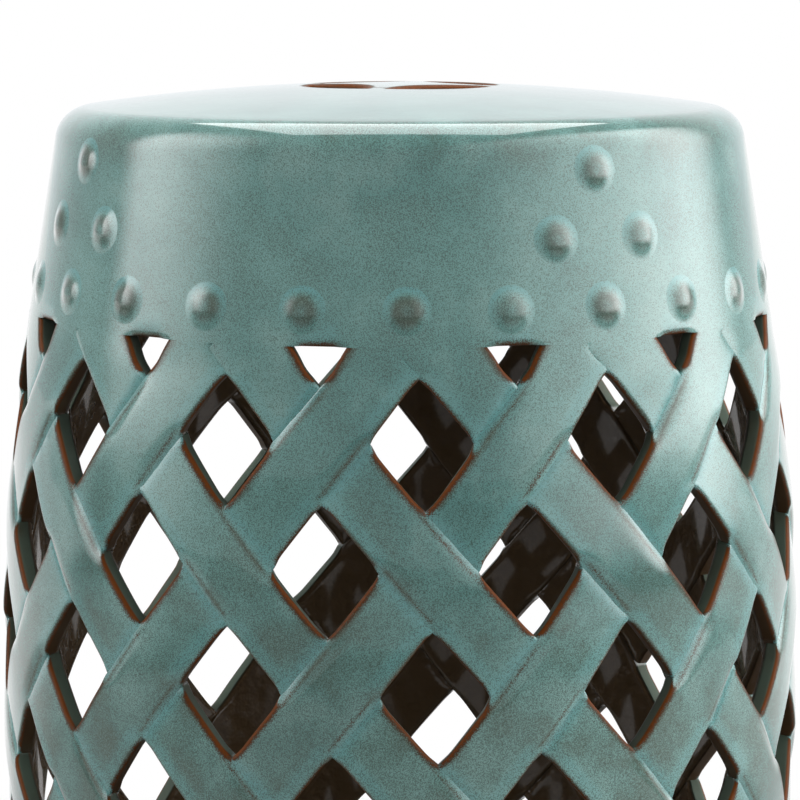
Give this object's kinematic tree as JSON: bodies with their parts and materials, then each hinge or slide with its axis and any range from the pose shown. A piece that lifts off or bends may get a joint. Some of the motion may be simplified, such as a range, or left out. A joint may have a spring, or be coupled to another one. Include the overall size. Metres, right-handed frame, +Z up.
{
  "type": "garden stool",
  "caption": "Barrel-shaped ceramic garden stool with a woven openwork lattice between bossed collars and a domed seat with finger holes.",
  "frame": {"origin": "on the ground at the middle of the foot ring", "axes": "+Z up along the barrel's axis, -Y towards the front, where one boss pyramid is centred"},
  "size_m": [0.32, 0.32, 0.462],
  "materials": {
    "seat_glaze": "glossy pale blue-green glaze with fine dark speckle",
    "collar_glaze": "glossy blue-green glaze with fine dark speckle",
    "strap_glaze": "glossy blue-green glaze that breaks to rust brown on sharp edges, dark brown inside",
    "boss_glaze": "glossy blue-green glaze, grey-brown on the crowns",
    "foot_glaze": "glossy blue-green glaze, bare stoneware on the sole"
  },
  "bodies": {
    "root": {"falling_strap_01": "strap_glaze", "falling_strap_02": "strap_glaze", "falling_strap_03": "strap_glaze", "falling_strap_04": "strap_glaze", "falling_strap_05": "strap_glaze", "falling_strap_06": "strap_glaze", "falling_strap_07": "strap_glaze", "falling_strap_08": "strap_glaze", "falling_strap_09": "strap_glaze", "falling_strap_10": "strap_glaze", "falling_strap_11": "strap_glaze", "falling_strap_12": "strap_glaze", "falling_strap_13": "strap_glaze", "foot_ring": "foot_glaze", "lower_collar": "collar_glaze", "lower_pyramid_bosses": "boss_glaze", "lower_ring_bosses": "boss_glaze", "rising_strap_01": "strap_glaze", "rising_strap_02": "strap_glaze", "rising_strap_03": "strap_glaze", "rising_strap_04": "strap_glaze", "rising_strap_05": "strap_glaze", "rising_strap_06": "strap_glaze", "rising_strap_07": "strap_glaze", "rising_strap_08": "strap_glaze", "rising_strap_09": "strap_glaze", "rising_strap_10": "strap_glaze", "rising_strap_11": "strap_glaze", "rising_strap_12": "strap_glaze", "rising_strap_13": "strap_glaze", "seat_top": "seat_glaze", "upper_collar": "collar_glaze", "upper_pyramid_bosses": "boss_glaze", "upper_ring_bosses": "boss_glaze"}
  },
  "joints": []
}
